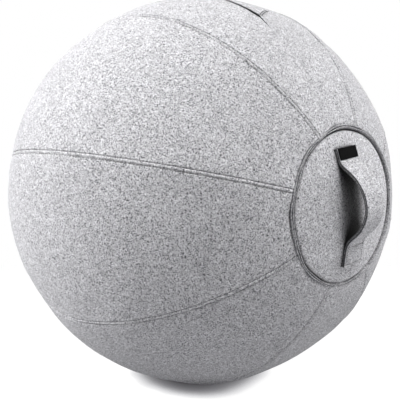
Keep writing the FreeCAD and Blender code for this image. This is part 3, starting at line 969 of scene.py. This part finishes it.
def tag_piece():
    width = np.linspace(-tag_half, tag_half, tag_columns)
    across = np.concatenate([width, width[::-1]])
    is_face = np.arange(2 * tag_columns) < tag_columns
    base = strap_layer + 0.1 * mm
    points = []
    for i, height in enumerate(np.linspace(tag_high, tag_low, tag_rows)):
        edge = 0.75 if i in (0, tag_rows - 1) else 1.0
        lift = np.where(is_face, base + tag_thickness * edge, base)
        points.append(on_strap(height, across, lift))
    faces = grid_faces(tag_rows, 2 * tag_columns, wrap_columns=True)
    faces += end_faces(tag_rows, 2 * tag_columns)
    return add_mesh("woven_tag", np.concatenate(points), faces)


tag = tag_piece()
dress(tag, label_weave)
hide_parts("handle_tag")


# The box of stitches that holds the strap's bottom tab down, by its (height, across) corners
tab_box_corners = [
    (-54 * mm, -17.2 * mm),
    (-55 * mm, 17.2 * mm),
    (-80.5 * mm, 17.2 * mm),
    (-80.5 * mm, -17.2 * mm),
]
tab_stitch_pitch = 3.4 * mm


def tab_box(name, corners):
    ends = []
    outwards = []
    for (height_a, across_a), (height_b, across_b) in zip(corners, corners[1:] + corners[:1]):
        length = math.hypot(height_b - height_a, across_b - across_a)
        count = round(length / tab_stitch_pitch)
        for i in range(count):
            pair = []
            for share in ((i + 0.14) / count, (i + 0.86) / count):
                height = height_a + (height_b - height_a) * share
                across = across_a + (across_b - across_a) * share
                pair.append(on_strap(height, across, strap_layer + 0.15 * mm))
            ends.append(pair)
            outwards.append(np.array([1.0, 0.0, 0.0]))
    return thread_stitches(name, ends, outwards)


dress(tab_box("tab_stitches_bottom", tab_box_corners), tab_thread)


# Stitched band across the cover at each end of the zip, in degrees
band_start = (0.1, -0.9)    # from the zip's end, along the zip and across it
band_run = (5.4, -9.4)
band_across = (0.84, 0.54)
band_reach = 280 * mm       # from the ball's X axis
band_half = 2.6 * mm
band_stitch_offset = 1.7 * mm
band_stitch_lift = 1.2 * mm
band_thread_radius = 0.8 * mm


def band_point(share, offset, lift, mirror):
    """A point of the band, which runs back from the zip's end and a little toward its middle."""
    t = zip_start + band_start[0] + band_run[0] * share
    phi = zip_angle + band_start[1] + band_run[1] * share
    t = t - math.degrees(offset / ball_radius) * band_across[0]
    phi = phi - math.degrees(offset / ball_radius / math.sin(math.radians(t))) * band_across[1]
    crest = crest_behind(math.radians(zip_angle - phi) * band_reach)
    point = from_angles(ball_radius + crest + lift, t, phi)
    if mirror:
        point[0] *= -1
    return point


def end_band(name, mirror):
    section = [(-band_half, 0.9 * mm), (0, 1.1 * mm), (band_half, 0.9 * mm)]
    section += [(band_half, -0.6 * mm), (-band_half, -0.6 * mm)]
    rows = []
    for share in np.linspace(0, 1, 22):
        rows.append([band_point(share, offset, lift, mirror) for offset, lift in section])
    return grid_piece(name, np.array(rows), wrap_columns=True)


def end_band_stitches(name, mirror):
    ends = []
    outwards = []
    for offset in (-band_stitch_offset, band_stitch_offset):
        for share in np.arange(0.02, 0.95, 0.085):
            first = band_point(share, offset, band_stitch_lift, mirror)
            last = band_point(share + 0.06, offset, band_stitch_lift, mirror)
            ends.append([first, last])
            outwards.append((first - ball_centre) / np.linalg.norm(first - ball_centre))
    return thread_stitches(name, ends, outwards, band_thread_radius)


for side_name, mirror in (("near", False), ("far", True)):
    dress(end_band("zip_end_band_" + side_name, mirror), cover_felt)
    dress(end_band_stitches("zip_end_stitches_" + side_name, mirror), tab_thread)


# Zip tapes, the thin woven bands that carry the teeth
tape_overrun = 3            # degrees past each end of the zip
tape_near = 0.8 * mm
tape_far = 7.5 * mm


def zip_tape_piece(name, side_sign):
    t = np.linspace(zip_start - tape_overrun, zip_end + tape_overrun, 120)[:, None]
    width = np.linspace(tape_near, tape_far, 9)
    across = np.concatenate([width, width[::-1]])[None, :]
    lift = np.concatenate([np.zeros(9), np.full(9, -tape_thickness)])[None, :]
    ripple = 0.12 * mm * np.sin(np.radians(t) * 180 + across * 900)
    phi = zip_angle + side_sign * np.degrees(across / tape_top)
    points = from_angles(tape_top + lift + ripple, t, phi)
    return grid_piece(name, points, wrap_columns=True)


for name, side_sign in (("zip_tape_front", 1), ("zip_tape_back", -1)):
    tape = zip_tape_piece("woven_" + name, side_sign)
    dress(tape, tape_weave)
    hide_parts(name)


# Inflated bladder inside the cover, settled on the felt at its underside
bladder_radius = 316.5 * mm
bladder_drop = 0.8 * mm
bladder_bottom = 3.6 * mm


def bladder_piece():
    t = np.linspace(0.5, 179.5, 72)[:, None]
    phi = np.linspace(0, 360, 96, endpoint=False)[None, :]
    points = from_angles(bladder_radius, t, phi)
    points[..., 2] = np.maximum(points[..., 2] - bladder_drop, bladder_bottom)
    return grid_piece("bladder_skin", points, wrap_columns=True)


bladder = bladder_piece()
dress(bladder, bladder_vinyl)
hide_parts("bladder")

# Finishes of the pieces that keep their own mesh
for name in ("zip_far_stop_front", "zip_far_stop_back", "zip_near_stop", "zip_slider", "zip_pull"):
    paint(nodes[name], slider_metal)
for name in ("zip_teeth_front", "zip_teeth_back"):
    paint(nodes[name], tooth_plastic)
paint(nodes["valve_plug"], plug_vinyl)

# Camera at the photograph's viewing angle
camera_distance = 3.4 * ball_radius
camera_azimuth = math.radians(48.4)
camera_elevation = math.radians(4.75)
pixels = 400
focal_pixels = 624.0
centre_pixel_y = 190.8
sensor_width = 36

back = Vector((
    math.sin(camera_azimuth) * math.cos(camera_elevation),
    -math.cos(camera_azimuth) * math.cos(camera_elevation),
    math.sin(camera_elevation),
))
right = Vector((math.cos(camera_azimuth), math.sin(camera_azimuth), 0))
tip_down = math.atan((pixels / 2 - centre_pixel_y) / focal_pixels)
up = back.cross(right)
looking = (-back * math.cos(tip_down) - up * math.sin(tip_down)).normalized()
camera_up = right.cross(looking)
camera_data = bpy.data.cameras.new("camera")
camera_data.sensor_width = sensor_width
camera_data.lens = focal_pixels / pixels * sensor_width
camera = bpy.data.objects.new("camera", camera_data)
scene.collection.objects.link(camera)
turn = Matrix((right, camera_up, -looking)).transposed().to_4x4()
camera.matrix_world = Matrix.Translation(Vector(ball_centre) + back * camera_distance) @ turn
scene.camera = camera


# Soft studio light, from the directions that the shading shows
lamp_size = 1.1
lamp_distance = 3.0
felt_reflectance = 0.6


def softbox(name, direction, level):
    """An area lamp that faces the ball, by the grey level it gives a felt face turned to it."""
    lamp = bpy.data.lights.new(name, "AREA")
    lamp.shape = "DISK"
    lamp.size = lamp_size
    lamp.energy = level * math.pi ** 2 * lamp_distance ** 2 / felt_reflectance
    place = Vector(direction).normalized() * lamp_distance
    light = bpy.data.objects.new(name, lamp)
    light.location = place + Vector(ball_centre)
    light.rotation_euler = place.to_track_quat("Z", "Y").to_euler()
    scene.collection.objects.link(light)


softbox("left_light", (-0.404, -0.911, -0.025), 0.08)
softbox("upper_left_light", (-0.501, -0.733, 0.461), 0.60)
softbox("left_front_light", (-0.111, -0.864, 0.493), 0.13)
softbox("top_left_light", (-0.250, -0.480, 0.841), 0.09)
softbox("upper_right_light", (0.579, 0.010, 0.789), 0.43)
softbox("top_right_light", (0.425, 0.426, 0.786), 0.15)
softbox("right_light", (0.623, 0.764, 0.195), 0.13)
softbox("low_right_light", (0.845, 0.508, -0.025), 0.10)


def seen_directly(tree):
    """1 for rays from the camera, a reflection or a clear surface, and 0 for rays that only light."""
    path = tree.nodes.new("ShaderNodeLightPath")
    value = path.outputs["Is Camera Ray"]
    for kind in ("Is Glossy Ray", "Is Transmission Ray"):
        either = tree.nodes.new("ShaderNodeMath")
        either.operation = "MAXIMUM"
        tree.links.new(value, either.inputs[0])
        tree.links.new(path.outputs[kind], either.inputs[1])
        value = either.outputs[0]
    return value


def mix_shader(tree, share, first, second):
    node = tree.nodes.new("ShaderNodeMixShader")
    tree.links.new(share, node.inputs[0])
    tree.links.new(first, node.inputs[1])
    tree.links.new(second, node.inputs[2])
    return node.outputs[0]


def studio_world():
    """A white backdrop that sheds no light of its own on the ball."""
    world = bpy.data.worlds.new("world")
    world.use_nodes = True
    tree = world.node_tree
    tree.nodes.clear()
    dark = tree.nodes.new("ShaderNodeBackground")
    dark.inputs["Strength"].default_value = 0.0
    white = tree.nodes.new("ShaderNodeBackground")
    white.inputs["Color"].default_value = (1, 1, 1, 1)
    white.inputs["Strength"].default_value = 1.0
    backdrop = mix_shader(tree, seen_directly(tree), dark.outputs[0], white.outputs[0])
    output = tree.nodes.new("ShaderNodeOutputWorld")
    tree.links.new(backdrop, output.inputs[0])
    return world


scene.world = studio_world()

# Floor
floor_sides = 96
floor_rings = [0.4, 1.0, 3.0, 12.0]
fade_start = 0.45
fade_end = 1.1
contact_reach = 0.024


def floor_piece():
    """A pale floor that keeps the ball's shadow and fades to white further out."""
    points = []
    for radius in floor_rings:
        for side in range(floor_sides):
            angle = 2 * math.pi * side / floor_sides
            points.append((radius * math.cos(angle), radius * math.sin(angle), 0))
    faces = grid_faces(len(floor_rings), floor_sides, wrap_columns=True)
    points.append((0, 0, 0))
    for side in range(floor_sides):
        faces.append((len(points) - 1, side, (side + 1) % floor_sides))
    floor = add_mesh("floor", points, faces, smooth=False)
    floor.location.z = -0.0004
    return floor


def contact_shadow(tree):
    """The soft dark edge where the ball stands, by how close the floor is to it."""
    closeness = tree.nodes.new("ShaderNodeAmbientOcclusion")
    closeness.inputs["Distance"].default_value = contact_reach
    closeness.samples = 16
    return ramp(tree, closeness.outputs["AO"], [
        (0.02, grey(0.03, 0.1)),
        (0.35, grey(0.22, 0.05)),
        (0.65, grey(0.68, 0.02)),
        (0.97, grey(1.0)),
    ])


def far_share(tree):
    """0 near the ball, rising to 1 where the floor has faded to white."""
    place = tree.nodes.new("ShaderNodeTexCoord")
    length = tree.nodes.new("ShaderNodeVectorMath")
    length.operation = "LENGTH"
    fade = tree.nodes.new("ShaderNodeMapRange")
    fade.interpolation_type = "SMOOTHSTEP"
    fade.inputs["From Min"].default_value = fade_start
    fade.inputs["From Max"].default_value = fade_end
    tree.links.new(place.outputs["Object"], length.inputs[0])
    tree.links.new(length.outputs["Value"], fade.inputs["Value"])
    return fade.outputs["Result"]


def floor_material():
    """White to the camera but for the shadows, and a darker bounce for the light on the ball."""
    material = bpy.data.materials.new("floor_white")
    material.use_nodes = True
    tree = material.node_tree
    tree.nodes.clear()
    diffuse = tree.nodes.new("ShaderNodeBsdfDiffuse")
    diffuse.inputs["Color"].default_value = (0.10, 0.10, 0.10, 1)
    glow = tree.nodes.new("ShaderNodeEmission")
    tree.links.new(contact_shadow(tree), glow.inputs["Color"])
    lit = tree.nodes.new("ShaderNodeAddShader")
    tree.links.new(diffuse.outputs[0], lit.inputs[0])
    tree.links.new(glow.outputs[0], lit.inputs[1])
    plain = tree.nodes.new("ShaderNodeEmission")
    seen = mix_shader(tree, far_share(tree), lit.outputs[0], plain.outputs[0])
    bounce = tree.nodes.new("ShaderNodeBsdfDiffuse")
    bounce.inputs["Color"].default_value = (0.42, 0.42, 0.43, 1)
    surface = mix_shader(tree, seen_directly(tree), bounce.outputs[0], seen)
    output = tree.nodes.new("ShaderNodeOutputMaterial")
    tree.links.new(surface, output.inputs[0])
    return material


floor = floor_piece()
paint(floor, floor_material())

scene.view_settings.view_transform = "Standard"
